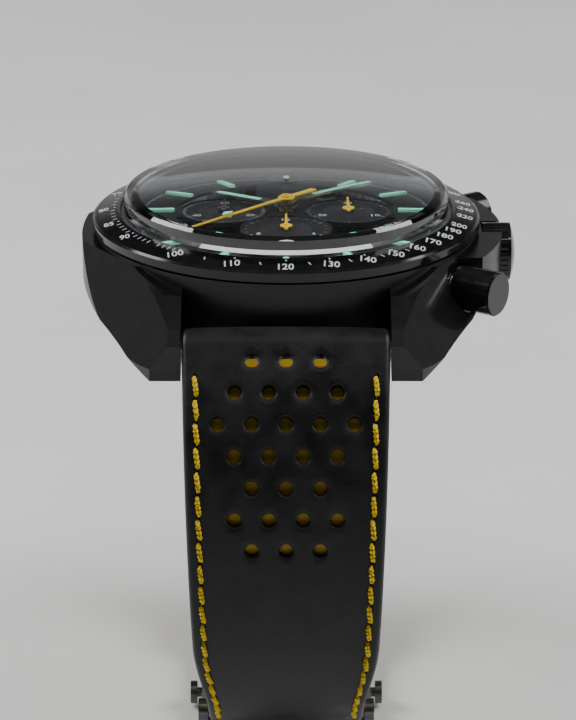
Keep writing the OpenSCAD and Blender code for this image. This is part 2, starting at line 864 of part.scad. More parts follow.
function strap_point(b, zc, t, off) =
    let (n = [cos(t) / strap_a, sin(t) / b])
    [strap_a * cos(t) + off * n.x / norm(n), zc + b * sin(t) + off * n.y / norm(n)];

function strap_t(i, top, end) = top + (end - top) * i / strap_steps;

// A band of the strap between two offsets from its ellipse, over the full width
module strap_band(b, zc, end_y, low, high, pad) {
    top = acos(lug_bar_y / strap_a);
    end = -acos(end_y / strap_a);
    outline = [
        for (i = [0 : strap_steps])
            strap_point(b, zc, strap_t(i, top, end), high + pad * pow(1 - i / strap_steps, 2)),
        for (i = [strap_steps : -1 : 0])
            strap_point(b, zc, strap_t(i, top, end), low)
    ];
    intersection() {
        rotate([90, 0, 90]) linear_extrude(strap_width, center = true) polygon(outline);
        translate([0, 40, 0]) rotate([90, 0, 0]) linear_extrude(40) polygon([
            [-strap_end_width / 2, 0], [strap_end_width / 2, 0],
            [strap_width / 2, head_z], [strap_width / 2, head_z + 8],
            [-strap_width / 2, head_z + 8], [-strap_width / 2, head_z]
        ]);
    }
}

// The last stretch narrows so that it fits between the clasp's ears
module beside_loop() {
    for (x = [-20, strap_loop_half_w])
        translate([x, 8, 0]) cube([20 - strap_loop_half_w, 9.4, 14]);
}

module strap_leather(b, zc, end_y, end_z) difference() {
    union() {
        strap_band(b, zc, end_y, 0.1, leather_t + 0.1, 0.55);
        rod_x(strap_top_r, [-strap_width / 2, strap_width / 2], lug_bar_y, head_z + bar_z);
        rod_x(strap_loop_r, [-strap_loop_half_w, strap_loop_half_w], end_y, end_z);
    }
    beside_loop();
    rod_x(strap_bore_r, [-20, 20], lug_bar_y, head_z + bar_z);
    rod_x(strap_bore_r, [-20, 20], end_y, end_z);
}

module strap_lining(b, zc, end_y, end_z) difference() {
    strap_band(b, zc, end_y, 0.05 - lining_t, 0.05, 0);
    beside_loop();
    rod_x(strap_top_r + 0.05, [-20, 20], lug_bar_y, head_z + bar_z);
    rod_x(strap_loop_r + 0.05, [-20, 20], end_y, end_z);
}

bar_12 = clasp_point(bar_12_r, bar_12_angle);
bar_6 = clasp_point(bar_6_r, bar_6_angle);

module strap_short() color("#17171a") strap_leather(short_b, short_zc, bar_12.x, bar_12.y);

module strap_short_lining() color("#d8c81e") strap_lining(short_b, short_zc, bar_12.x, bar_12.y);

module strap_long() color("#17171a") mirror([0, 1, 0])
    strap_leather(long_b, long_zc, -bar_6.x, bar_6.y);

module strap_long_lining() color("#d8c81e") mirror([0, 1, 0])
    strap_lining(long_b, long_zc, -bar_6.x, bar_6.y);

// ---------- clasp ----------

// Part of a ring about the clasp's axis, between two angles from straight down
module clasp_arc(r, angles, half_w) {
    translate([0, 0, clasp_axis_z]) rotate([90, 0, 90]) rotate([0, 0, angles[0] - 90])
        rotate_extrude(angle = angles[1] - angles[0])
            translate([r[0], -half_w]) square([r[1] - r[0], 2 * half_w]);
}

module clasp_rod(r, x, at) rod_x(r, x, at.x, at.y);

module both_sides() for (s = [0, 1]) mirror([s, 0, 0]) children();

hinge_1 = clasp_point(hinge_1_r, hinge_1_angle);
hinge_2 = clasp_point(hinge_2_r, hinge_2_angle);
button_at = clasp_point(button_r, button_angle);

// Overlapping pieces of a blade end a hair apart, so that no two faces lie in one plane
step = 0.05;

// The cover stands on its flat, and carries a hinge pin and the ears of the long strap's bar
module clasp_cover() color("#9da0a3") {
    rail_x = clasp_half_w - rail_t;
    difference() {
        union() {
            difference() {
                clasp_arc([cover_r - cover_t, cover_r], [-22.5, 21], clasp_half_w - step);
                clasp_rod(knuckle_r + 0.15, [-8.5, 8.5], hinge_1);
            }
            difference() {
                union() {
                    clasp_arc([rail_in_r, cover_r - cover_t + 0.1], [-26, 19], clasp_half_w);
                    clasp_rod(0.9, [-clasp_half_w - step, clasp_half_w + step], hinge_1);
                    clasp_rod(1.3, [-clasp_half_w - step, clasp_half_w + step], bar_6);
                }
                translate([-rail_x, -20, -1]) cube([2 * rail_x, 40, 12]);
            }
        }
        translate([-20, -20, -5]) cube([40, 40, 5]);
        clasp_rod(hinge_pin_r + 0.05, [-20, 20], bar_6);
        clasp_rod(0.6, [-20, 20], button_at);
    }
    clasp_rod(hinge_pin_r, [step - clasp_half_w, clasp_half_w - step], hinge_1);
}

module clasp_middle_blade() color("#b4b7ba") {
    difference() {
        union() {
            clasp_arc(middle_r, [hinge_2_angle, hinge_1_angle], middle_half_w - step);
            clasp_rod(knuckle_r, [-middle_half_w, middle_half_w], hinge_1);
            clasp_rod(knuckle_r, [-middle_half_w, middle_half_w], hinge_2);
        }
        clasp_arc([30, 34], [hinge_2_angle - 3, hinge_2_angle + 2.6], 5.6);
        clasp_rod(hinge_pin_r + 0.05, [-20, 20], hinge_1);
        clasp_arc([31, 34], [-9, 9], 3.5);
    }
    clasp_rod(hinge_pin_r, [step - middle_half_w, middle_half_w - step], hinge_2);
}

module clasp_inner_blade() color("#a8abae") {
    ear_x = clasp_half_w - rail_t;
    difference() {
        union() {
            difference() {
                clasp_arc(inner_r, [hinge_2_angle, 22.5], clasp_half_w - step);
                both_sides() {
                    translate([5.4, -20, 0]) cube([8, 20 - 8.9, 12]);
                    translate([inner_half_w, -20, 0]) cube([8, 30, 12]);
                }
            }
            clasp_rod(knuckle_r, [step - 5.4, 5.4 - step], hinge_2);
            difference() {
                union() {
                    clasp_arc([inner_r[0] - step, 32.4], [21.4, bar_12_angle], clasp_half_w);
                    clasp_rod(1.3, [-clasp_half_w - step, clasp_half_w + step], bar_12);
                }
                translate([-ear_x, 5, 0]) cube([2 * ear_x, 15, 12]);
            }
        }
        clasp_rod(hinge_pin_r + 0.05, [-20, 20], hinge_2);
        clasp_rod(hinge_pin_r + 0.05, [-20, 20], bar_12);
    }
}

// The short strap's bar is sprung into the inner blade's ears
module clasp_bar_12() color("#b9bcc0") {
    clasp_rod(bar_r, [-8.5, 8.5], bar_12);
    clasp_rod(hinge_pin_r, [-9.4, 9.4], bar_12);
}

// The long strap's bar is drawn with its tips pressed in, clear of the cover's ears
module clasp_bar_6() color("#b9bcc0") clasp_rod(bar_r, [-8.5, 8.5], bar_6);

module clasp_button() {
    clasp_rod(1.3, [clasp_half_w + 0.55, clasp_half_w + 1.3], button_at);
    clasp_rod(0.55, [8.85, clasp_half_w + 0.6], button_at);
}

module clasp_button_left() color("#b4b7ba") mirror([1, 0, 0]) clasp_button();

module clasp_button_right() color("#b4b7ba") clasp_button();

case_middle();
bezel();
tachymeter_ring();
crystal();
crystal_gasket();
dial_flange();
dial_plate();
hour_indices();
caseback();
caseback_crystal();
caseback_gasket();
movement_ring();
crown();
case_tubes();
start_pusher();
reset_pusher();
pusher_springs();
spring_bars();
main_plate();
barrel();
ratchet_wheel();
crown_wheel();
centre_wheel();
third_wheel();
fourth_wheel();
escape_wheel();
pallet_fork();
balance_wheel();
hairspring();
balance_cock();
three_quarter_bridge();
chronograph_wheel();
minute_recorder();
hour_recorder();
operating_lever();
reset_hammer();
winding_stem();
winding_pinion();
minute_wheel();
hour_wheel();
cannon_pinion();
movement_screws();
jewels();
hour_hand();
minute_hand();
chronograph_hand();
seconds_hand();
minute_counter_hand();
hour_counter_hand();
strap_long();
strap_long_lining();
strap_short();
strap_short_lining();
clasp_cover();
clasp_middle_blade();
clasp_inner_blade();
clasp_bar_12();
clasp_bar_6();
clasp_button_left();
clasp_button_right();
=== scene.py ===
"""Looks of the chronograph wristwatch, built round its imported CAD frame.

Everything is in metres in the frame's own axes: +Z up, +X towards 3 o'clock and +Y
towards 12 o'clock. Lengths written as N * MM are in millimetres.
"""

import json
import math

import bmesh
import bpy
from mathutils import Matrix, Vector
from mathutils.geometry import delaunay_2d_cdt


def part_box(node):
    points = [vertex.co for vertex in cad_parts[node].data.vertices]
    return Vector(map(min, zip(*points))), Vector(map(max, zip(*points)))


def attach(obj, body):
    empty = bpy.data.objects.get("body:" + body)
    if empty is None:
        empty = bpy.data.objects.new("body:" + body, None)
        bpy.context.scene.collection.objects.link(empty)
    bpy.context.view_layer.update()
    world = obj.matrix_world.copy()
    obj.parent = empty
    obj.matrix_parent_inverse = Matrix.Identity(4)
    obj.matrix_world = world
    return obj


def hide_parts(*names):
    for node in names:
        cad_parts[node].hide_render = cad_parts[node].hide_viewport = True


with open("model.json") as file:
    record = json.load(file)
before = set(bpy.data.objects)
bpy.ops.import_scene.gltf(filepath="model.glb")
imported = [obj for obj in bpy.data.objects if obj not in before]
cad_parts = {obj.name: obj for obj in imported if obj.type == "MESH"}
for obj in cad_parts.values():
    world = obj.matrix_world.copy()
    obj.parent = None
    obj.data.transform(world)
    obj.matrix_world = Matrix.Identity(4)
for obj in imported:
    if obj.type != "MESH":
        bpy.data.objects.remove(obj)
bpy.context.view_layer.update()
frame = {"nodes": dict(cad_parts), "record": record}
NODES = frame["nodes"]

MM = 0.001

# ---------------------------------------------------------------- the frame's own places

HEAD_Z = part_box("caseback")[0].z                  # the case back's outer face
DIAL_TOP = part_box("hour_indices")[0].z - 0.01 * MM   # the dial's face, just under the blocks
BEZEL_CENTRE = Vector((0, 0, HEAD_Z + 10 * MM))   # what the camera is placed from


# ---------------------------------------------------------------- materials

def rgb(r, g, b):
    """An opaque colour, as the four numbers that Blender's sockets take."""
    return (r, g, b, 1.0)


class Look:
    """A Principled material with helpers that wire procedural detail into it."""

    def __init__(self, name, colour, roughness, **sockets):
        self.mat = bpy.data.materials.new(name)
        self.mat.use_nodes = True
        self.tree = self.mat.node_tree
        self.shader = self.tree.nodes["Principled BSDF"]
        self.shader.inputs["Base Color"].default_value = colour
        self.shader.inputs["Roughness"].default_value = roughness
        for key, value in sockets.items():
            self.shader.inputs[key.replace("_", " ")].default_value = value
        self.bump_out = None

    def node(self, kind, **settings):
        made = self.tree.nodes.new(kind)
        for key, value in settings.items():
            setattr(made, key, value)
        return made

    def link(self, source, target):
        self.tree.links.new(source, target)

    def place(self, stretch=(1, 1, 1)):
        """Object coordinates in millimetres, stretched for brushed grain."""
        coords = self.node("ShaderNodeTexCoord")
        mapping = self.node("ShaderNodeMapping")
        mapping.inputs["Scale"].default_value = [1000 * s for s in stretch]
        self.link(coords.outputs["Object"], mapping.inputs["Vector"])
        return mapping.outputs["Vector"]

    def noise(self, size_mm, detail, stretch=(1, 1, 1)):
        """Noise of the given grain size."""
        made = self.node("ShaderNodeTexNoise")
        made.inputs["Scale"].default_value = 1 / size_mm
        made.inputs["Detail"].default_value = detail
        self.link(self.place(stretch), made.inputs["Vector"])
        return made.outputs["Fac"]

    def cells(self, size_mm, feature="F1"):
        """Distances in a Voronoi pattern of the given cell size."""
        made = self.node("ShaderNodeTexVoronoi", feature=feature)
        made.inputs["Scale"].default_value = 1 / size_mm
        self.link(self.place(), made.inputs["Vector"])
        return made.outputs["Distance"]

    def rings(self, size_mm):
        """Noise along the distance from the Z axis: concentric turning marks."""
        coords = self.node("ShaderNodeTexCoord")
        move = self.node("ShaderNodeMapping")
        move.inputs["Scale"].default_value = (1000, 1000, 0)
        length = self.node("ShaderNodeVectorMath", operation="LENGTH")
        self.link(coords.outputs["Object"], move.inputs["Vector"])
        self.link(move.outputs["Vector"], length.inputs[0])
        made = self.node("ShaderNodeTexNoise", noise_dimensions="1D")
        made.inputs["Scale"].default_value = 1 / size_mm
        made.inputs["Detail"].default_value = 2
        self.link(length.outputs["Value"], made.inputs["W"])
        return made.outputs["Fac"]

    def spread(self, value, low, high, from_low=0.3, from_high=0.7):
        """Maps the middle of a value's range onto low to high."""
        made = self.node("ShaderNodeMapRange")
        made.inputs["From Min"].default_value = from_low
        made.inputs["From Max"].default_value = from_high
        made.inputs["To Min"].default_value = low
        made.inputs["To Max"].default_value = high
        self.link(value, made.inputs["Value"])
        return made.outputs["Result"]

    def colour(self, value, first, second, low=0.35, high=0.65):
        """Drives the base colour from first, at low and under, to second, at high and over."""
        ramp = self.node("ShaderNodeValToRGB")
        ramp.color_ramp.elements[0].position = low
        ramp.color_ramp.elements[0].color = first
        ramp.color_ramp.elements[1].position = high
        ramp.color_ramp.elements[1].color = second
        self.link(value, ramp.inputs["Fac"])
        self.link(ramp.outputs["Color"], self.shader.inputs["Base Color"])
        return ramp.outputs["Color"]

    def roughness(self, value, low, high):
        self.link(self.spread(value, low, high), self.shader.inputs["Roughness"])

    def bump(self, value, height_mm, strength):
        """Adds a layer of relief of the given height, over any layer made before it."""
        made = self.node("ShaderNodeBump")
        made.inputs["Strength"].default_value = strength
        made.inputs["Distance"].default_value = height_mm * MM
        self.link(value, made.inputs["Height"])
        if self.bump_out is not None:
            self.link(self.bump_out, made.inputs["Normal"])
        self.bump_out = made.outputs["Normal"]
        self.link(self.bump_out, self.shader.inputs["Normal"])


def polished_ceramic(name, shade=0.006):
    """Black zirconia: a deep mirror polish with the faintest ripple and haze."""
    look = Look(name, rgb(shade, shade, shade * 1.1), 0.12, Specular_IOR_Level=0.42)
    haze = look.noise(1.6, 4)
    look.colour(haze, rgb(shade * 0.8, shade * 0.8, shade * 0.9),
                rgb(shade * 1.3, shade * 1.3, shade * 1.5))
    look.roughness(haze, 0.09, 0.17)
    look.bump(look.noise(0.35, 2), 0.002, 0.25)
    return look


def brushed_ceramic(name):
    """Satin flanks with fine level strokes, and a polish on the faces that look up or down."""
    look = polished_ceramic(name, 0.007)
    polish = 0.13
    strokes = look.noise(0.05, 3, stretch=(0.02, 0.02, 1))
    normal = look.node("ShaderNodeTexCoord").outputs["Normal"]
    split = look.node("ShaderNodeSeparateXYZ")
    look.link(normal, split.inputs["Vector"])
    upright = look.node("ShaderNodeMath", operation="ABSOLUTE")
    look.link(split.outputs["Z"], upright.inputs[0])
    satin = look.spread(upright.outputs["Value"], 1.0, 0.0, 0.12, 0.3)
    rough = look.spread(strokes, 0.28, 0.42)
    mix = look.node("ShaderNodeMix", data_type="FLOAT")
    mix.inputs[2].default_value = polish
    look.link(satin, mix.inputs[0])
    look.link(rough, mix.inputs[3])
    look.link(mix.outputs[0], look.shader.inputs["Roughness"])
    grain = look.node("ShaderNodeMath", operation="MULTIPLY")
    look.link(strokes, grain.inputs[0])
    look.link(satin, grain.inputs[1])
    look.bump(grain.outputs["Value"], 0.004, 0.6)
    return look


def glass(name, tint):
    """Clear sapphire or ruby that bends what is seen through it and lets the lamps' light in."""
    look = Look(name, tint, 0.0, Transmission_Weight=1.0, IOR=1.77)
    smear = look.noise(4.0, 2)
    look.link(look.spread(smear, 0.0, 0.012), look.shader.inputs["Roughness"])
    clear = look.node("ShaderNodeBsdfTransparent")
    clear.inputs["Color"].default_value = rgb(0.93, 0.95, 0.96)
    path = look.node("ShaderNodeLightPath")
    mix = look.node("ShaderNodeMixShader")
    out = look.tree.nodes["Material Output"]
    look.link(path.outputs["Is Shadow Ray"], mix.inputs["Fac"])
    look.link(look.shader.outputs["BSDF"], mix.inputs[1])
    look.link(clear.outputs["BSDF"], mix.inputs[2])
    look.link(mix.outputs["Shader"], out.inputs["Surface"])
    return look


def rubber(name, first, second):
    """Soft matt rubber with a faint mottle and a fine grain."""
    look = Look(name, first, 0.55, Specular_IOR_Level=0.4)
    mottle = look.noise(2.5, 3)
    look.colour(mottle, first, second)
    look.roughness(mottle, 0.48, 0.62)
    look.bump(look.noise(0.08, 2), 0.01, 0.5)
    return look


def metal(name, first, second, rough=(0.18, 0.32), stretch=(1, 1, 1), grain_mm=0.08,
          relief=0.003):
    """Plated or bare metal, brushed along whichever axis is stretched."""
    look = Look(name, first, rough[0], Metallic=1.0)
    grain = look.noise(grain_mm, 3, stretch)
    look.colour(look.noise(1.8, 3), first, second)
    look.roughness(grain, *rough)
    look.bump(grain, relief, 0.6)
    return look


def striped_plate(name):
    """Movement bridges: broad parallel stripes, each with its own fine grain."""
    look = Look(name, rgb(0.32, 0.33, 0.34), 0.3, Metallic=1.0)
    turned = look.node("ShaderNodeVectorRotate", rotation_type="Z_AXIS")
    turned.inputs["Angle"].default_value = math.radians(35)
    look.link(look.place(), turned.inputs["Vector"])
    wave = look.node("ShaderNodeTexWave", wave_type="BANDS", wave_profile="SAW")
    wave.inputs["Scale"].default_value = 0.31
    look.link(turned.outputs["Vector"], wave.inputs["Vector"])
    look.colour(wave.outputs["Fac"], rgb(0.2, 0.205, 0.21), rgb(0.46, 0.47, 0.48), 0.0, 1.0)
    look.roughness(look.noise(0.12, 2), 0.2, 0.38)
    look.bump(wave.outputs["Fac"], 0.02, 0.4)
    return look


def mottled_plate(name):
    """The dial side of the movement: a dark plate with a rough, pitted grey texture."""
    look = Look(name, rgb(0.1, 0.1, 0.105), 0.6, Metallic=0.6)
    clouds = look.noise(1.4, 8)
    look.colour(clouds, rgb(0.035, 0.036, 0.04), rgb(0.34, 0.345, 0.36), 0.4, 0.66)
    look.roughness(look.noise(0.3, 3), 0.45, 0.75)
    look.bump(look.cells(0.9), 0.12, 0.6)
    look.bump(look.noise(0.25, 4), 0.05, 0.7)
    return look


def leather(name):
    """Smooth black calf: fine pebbled grain, soft sheen and slight wear in tone."""
    look = Look(name, rgb(0.010, 0.010, 0.012), 0.42, Specular_IOR_Level=0.22,
                Sheen_Weight=0.03, Sheen_Roughness=0.4)
    tone = look.noise(3.2, 5)
    look.colour(tone, rgb(0.006, 0.006, 0.007), rgb(0.014, 0.014, 0.016))
    look.roughness(tone, 0.36, 0.52)
    look.bump(look.cells(0.26, feature="SMOOTH_F1"), 0.035, 0.45)
    look.bump(look.noise(0.07, 3), 0.012, 0.6)
    look.bump(look.noise(1.2, 3), 0.05, 0.35)
    return look


def lume(name):
    """Pale green luminous paste: grainy, with a weak glow of its own."""
    look = Look(name, rgb(0.2, 0.62, 0.42), 0.45, Specular_IOR_Level=0.3,
                Emission_Color=rgb(0.10, 0.80, 0.42), Emission_Strength=0.16)
    grain = look.noise(0.06, 3)
    look.colour(grain, rgb(0.16, 0.56, 0.36), rgb(0.27, 0.70, 0.48))
    look.roughness(grain, 0.4, 0.6)
    look.bump(grain, 0.01, 0.5)
    return look


def lacquer(name, first, second, rough=(0.22, 0.36)):
    """Thin glossy paint on the hands, with fine flecks."""
    look = Look(name, first, rough[0], Coat_Weight=0.1, Coat_Roughness=0.12)
    flecks = look.noise(0.05, 2)
    look.colour(flecks, first, second)
    look.roughness(flecks, *rough)
    look.bump(flecks, 0.003, 0.4)
    return look


def dial_lacquer(name):
    """The dial's matt black paint, grained like fine sand."""
    look = Look(name, rgb(0.008, 0.008, 0.009), 0.4, Specular_IOR_Level=0.22)
    grain = look.noise(0.05, 3)
    look.colour(grain, rgb(0.005, 0.005, 0.006), rgb(0.011, 0.011, 0.012))
    look.roughness(grain, 0.4, 0.58)
    look.bump(look.noise(0.04, 2), 0.006, 0.6)
    return look


def turned_ceramic(name):
    """Black ceramic with the concentric marks of a lathe round the watch's axis."""
    look = polished_ceramic(name, 0.009)
    marks = look.rings(0.05)
    look.roughness(marks, 0.16, 0.34)
    look.bump(marks, 0.004, 0.5)
    return look


def thread_look(name):
    """Waxed yellow thread with fibres that break up its shine."""
    look = Look(name, rgb(0.66, 0.45, 0.015), 0.6, Specular_IOR_Level=0.25)
    fibre = look.noise(0.05, 3)
    look.colour(fibre, rgb(0.52, 0.35, 0.008), rgb(0.82, 0.60, 0.02))
    look.roughness(fibre, 0.5, 0.72)
    look.bump(fibre, 0.02, 0.7)
    return look


def print_look(name, shade):
    """Pale printed ink, slightly uneven."""
    look = Look(name, rgb(*shade), 0.5)
    grain = look.noise(0.04, 2)
    look.colour(grain, rgb(*[c * 0.85 for c in shade]), rgb(*shade))
    look.roughness(grain, 0.42, 0.6)
    return look


YELLOW = (rgb(0.60, 0.38, 0.008), rgb(0.74, 0.49, 0.014))

LOOKS = {
    "black_ceramic": brushed_ceramic("black_ceramic"),
    "bezel_ceramic": polished_ceramic("bezel_ceramic"),
    "ring_ceramic": polished_ceramic("ring_ceramic", 0.004),
    "sapphire": glass("sapphire", rgb(0.97, 0.985, 1.0)),
    "gasket_rubber": rubber("gasket_rubber", rgb(0.015, 0.015, 0.015), rgb(0.03, 0.03, 0.03)),
    "dial_black": dial_lacquer("dial_black"),
    "lume_green": lume("lume_green"),
    "case_back_ceramic": turned_ceramic("case_back_ceramic"),
    "movement_grey": striped_plate("movement_grey"),
    "mottled_grey": mottled_plate("mottled_grey"),
    "steel": metal("steel", rgb(0.55, 0.56, 0.58), rgb(0.68, 0.69, 0.71)),
    "gear_brass": metal("gear_brass", rgb(0.62, 0.45, 0.20), rgb(0.80, 0.62, 0.32)),
    "blue_steel": metal("blue_steel", rgb(0.03, 0.09, 0.36), rgb(0.06, 0.15, 0.5)),
    "ruby": glass("ruby", rgb(0.75, 0.02, 0.12)),
    "hand_steel": metal("hand_steel", rgb(0.42, 0.42, 0.41), rgb(0.6, 0.6, 0.58), (0.14, 0.25)),
    "hand_yellow": lacquer("hand_yellow", *YELLOW),
    "hand_dark": lacquer("hand_dark", rgb(0.02, 0.02, 0.022), rgb(0.04, 0.04, 0.045)),
    "clasp_steel": metal("clasp_steel", rgb(0.115, 0.117, 0.12), rgb(0.135, 0.137, 0.14),
                         (0.26, 0.4), stretch=(1, 0.02, 0.02), grain_mm=0.05, relief=0.002),
    "strap_leather": leather("strap_leather"),
    "strap_rubber": rubber("strap_rubber", YELLOW[0], YELLOW[1]),
    "thread": thread_look("thread"),
    "scale_print": print_look("scale_print", (0.55, 0.56, 0.58)),
    "dial_print": print_look("dial_print", (0.42, 0.43, 0.45)),
    "dial_sheen": lacquer("dial_sheen", rgb(0.02, 0.02, 0.022), rgb(0.035, 0.035, 0.04),
                          (0.2, 0.3)),
}

# Nodes whose look differs from the one that their material slot is named for
SPECIAL = {"bezel": "bezel_ceramic", "crown": "bezel_ceramic", "start_pusher": "bezel_ceramic",
           "reset_pusher": "bezel_ceramic", "main_plate": "mottled_grey"}


def dress(piece, look):
    """Puts one look on every slot of a piece."""
    piece.data.materials.clear()
    piece.data.materials.append(LOOKS[look].mat)


for row in frame["record"]["subparts"]:
    dress(NODES[row["node"]], SPECIAL.get(row["node"], row["material_slot"]))


def soften_edges(node, width_mm):
    """Breaks the sharp edges of a CAD node, so that they catch the light."""
    edge = NODES[node].modifiers.new("edge", "BEVEL")
    edge.width = width_mm * MM
    edge.segments = 2
    edge.limit_method = "ANGLE"
    edge.angle_limit = math.radians(32)
    edge.harden_normals = False


# ---------------------------------------------------------------- camera, floor and light

def make_camera():
    """Low over the 6 o'clock side, with the strap running down towards the viewer."""
    distance = 0.300                    # from the middle of the bezel
    sight = math.radians(17.0)          # how far the camera stands above the level of the bezel
    tilt = math.radians(20.06)          # how far it looks down
    shift = 0.2 * MM
    data = bpy.data.cameras.new("camera")
    data.lens = 138.0
    data.sensor_width = 36.0
    data.clip_start = 0.01
    data.clip_end = 10
    camera = bpy.data.objects.new("camera", data)
    bpy.context.collection.objects.link(camera)
    camera.location = BEZEL_CENTRE + Vector((0, -math.cos(sight), math.sin(sight))) * distance
    camera.location.x = shift
    camera.rotation_euler = (math.pi / 2 - tilt, 0, 0)
    bpy.context.scene.camera = camera


def make_floor():
    """A plain pale floor, 16 m wide."""
    look = Look("floor", rgb(0.72, 0.72, 0.71), 0.7)
    look.colour(look.noise(60, 3), rgb(0.70, 0.70, 0.69), rgb(0.74, 0.74, 0.73))
    mesh = bpy.data.meshes.new("floor")
    half = 8.0
    corners = [(-half, -half, 0), (half, -half, 0), (half, half, 0), (-half, half, 0)]
    mesh.from_pydata(corners, [], [(0, 1, 2, 3)])
    mesh.materials.append(look.mat)
    floor = bpy.data.objects.new("floor", mesh)
    bpy.context.collection.objects.link(floor)


def soft_lamp(name, where, size, power):
    """A rectangular lamp that faces the watch; size in metres, power in watts."""
    aim = Vector((0, 0, 0.04))
    data = bpy.data.lights.new(name, "AREA")
    data.shape = "RECTANGLE"
    data.size, data.size_y = size
    data.energy = power
    lamp = bpy.data.objects.new(name, data)
    bpy.context.collection.objects.link(lamp)
    lamp.location = where
    lamp.rotation_euler = (aim - Vector(where)).to_track_quat("-Z", "Y").to_euler()


def make_fill():
    """Even light from overhead that keeps the floor pale and leaves no mirror image."""
    data = bpy.data.lights.new("fill", "SUN")
    data.energy = 0.9
    data.angle = math.radians(70)
    fill = bpy.data.objects.new("fill", data)
    fill.visible_glossy = False
    bpy.context.collection.objects.link(fill)


def sky_ramp(nodes, links, height, glow, edge):
    """Brightness over the height above the horizon: a glow up to the edge, then a dark band."""
    dark, overhead = 0.05, rgb(0.3, 0.3, 0.31)
    ramp = nodes.new("ShaderNodeValToRGB")
    links.new(height, ramp.inputs["Fac"])
    stops = ramp.color_ramp.elements
    stops[0].position, stops[0].color = 0.0, rgb(glow, glow, glow)
    stops[1].position, stops[1].color = 0.95, overhead
    for position, shade in ((edge, glow * 0.8), (edge + 0.09, glow * 0.35),
                            (edge + 0.18, dark), (0.6, dark)):
        stops.new(position).color = rgb(shade, shade, shade * 1.03)
    return ramp.outputs["Color"]


def make_world():
    """What the gloss mirrors: bright low down behind the watch, and dim in front of it.

    The camera itself sees a plain pale backdrop where the floor ends.
    """
    world = bpy.data.worlds.new("studio")
    bpy.context.scene.world = world
    world.use_nodes = True
    nodes, links = world.node_tree.nodes, world.node_tree.links
    coords = nodes.new("ShaderNodeTexCoord")
    split = nodes.new("ShaderNodeSeparateXYZ")
    links.new(coords.outputs["Generated"], split.inputs["Vector"])
    behind = sky_ramp(nodes, links, split.outputs["Z"], glow=0.95, edge=0.20)
    in_front = sky_ramp(nodes, links, split.outputs["Z"], glow=0.28, edge=0.10)
    side = nodes.new("ShaderNodeMapRange")
    side.inputs["From Min"].default_value = -0.2
    side.inputs["From Max"].default_value = 0.6
    links.new(split.outputs["Y"], side.inputs["Value"])
    mix = nodes.new("ShaderNodeMix")
    mix.data_type = "RGBA"
    first_colour, second_colour, mixed_colour = mix.inputs[6], mix.inputs[7], mix.outputs[2]
    links.new(side.outputs["Result"], mix.inputs["Factor"])
    links.new(in_front, first_colour)
    links.new(behind, second_colour)
    sky = nodes["Background"]
    sky.inputs["Strength"].default_value = 0.6
    links.new(mixed_colour, sky.inputs["Color"])
    backdrop = nodes.new("ShaderNodeBackground")
    backdrop.inputs["Color"].default_value = rgb(0.52, 0.52, 0.515)
    path = nodes.new("ShaderNodeLightPath")
    pick = nodes.new("ShaderNodeMixShader")
    links.new(path.outputs["Is Camera Ray"], pick.inputs["Fac"])
    links.new(sky.outputs["Background"], pick.inputs[1])
    links.new(backdrop.outputs["Background"], pick.inputs[2])
    links.new(pick.outputs["Shader"], nodes["World Output"].inputs["Surface"])


def make_light():
    """A lamp on either side, a thin strip overhead for the crystal's rim, a fill and the world."""
    make_fill()
    soft_lamp("left", (-0.5, 0.12, 0.42), (0.35, 0.35), 3.2)
    soft_lamp("right", (0.5, 0.05, 0.42), (0.35, 0.35), 2.8)
    soft_lamp("rim", (0.0, -0.2, 0.6), (0.9, 0.022), 0.9)
    make_world()


make_camera()
make_floor()
make_light()

EDGES_MM = {
    "case_middle": 0.16, "clasp_cover": 0.12, "clasp_middle_blade": 0.08,
    "clasp_inner_blade": 0.08, "clasp_button_left": 0.1, "clasp_button_right": 0.1,
    "crown": 0.08, "bezel": 0.08, "start_pusher": 0.1, "reset_pusher": 0.1,
    "caseback": 0.06, "crystal": 0.12, "tachymeter_ring": 0.04, "hour_indices": 0.06,
    "chronograph_hand": 0.03, "hour_hand": 0.04, "minute_hand": 0.04,
    "minute_counter_hand": 0.02, "hour_counter_hand": 0.02,
}
for node, width in EDGES_MM.items():
    soften_edges(node, width)


# ---------------------------------------------------------------- mesh helpers

def add_piece(name, verts, faces, look, body, smooth=None):
    """A mesh piece that rides on a body; edges past smooth degrees stay sharp."""
    mesh = bpy.data.meshes.new(name)
    mesh.from_pydata(verts, [], faces)
    work = bmesh.new()
    work.from_mesh(mesh)
    bmesh.ops.recalc_face_normals(work, faces=work.faces)
    work.to_mesh(mesh)
    work.free()
    if smooth:
        mesh.shade_smooth()
        mesh.set_sharp_from_angle(angle=math.radians(smooth))
    mesh.materials.append(LOOKS[look].mat)
    piece = bpy.data.objects.new(name, mesh)
    bpy.context.collection.objects.link(piece)
    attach(piece, body)
    return piece


class Shell:
    """Collects vertices and faces of many small closed forms into one mesh."""

    def __init__(self):
        self.verts, self.faces = [], []

    def tube(self, points, radius, sides):
        """A closed tube along points."""
        first = len(self.verts)
        up = Vector((0.31, 0.17, 0.93))         # only has to differ from the tube's direction
        for i, point in enumerate(points):
            along = (points[min(i + 1, len(points) - 1)] - points[max(i - 1, 0)]).normalized()
            side = along.cross(up).normalized()
            rise = side.cross(along)
            for k in range(sides):
                turn = 2 * math.pi * k / sides
                out = side * math.cos(turn) + rise * math.sin(turn)
                self.verts.append(point + out * radius)
        for i in range(len(points) - 1):
            for k in range(sides):
                a, b = first + i * sides + k, first + i * sides + (k + 1) % sides
                self.faces.append((a, b, b + sides, a + sides))
        last = first + (len(points) - 1) * sides
        self.faces.append(tuple(range(first, first + sides)))
        self.faces.append(tuple(range(last, last + sides)))

    def build(self, name, look, slot, body, smooth=None):
        return add_piece(name, self.verts, self.faces, look, body, smooth)


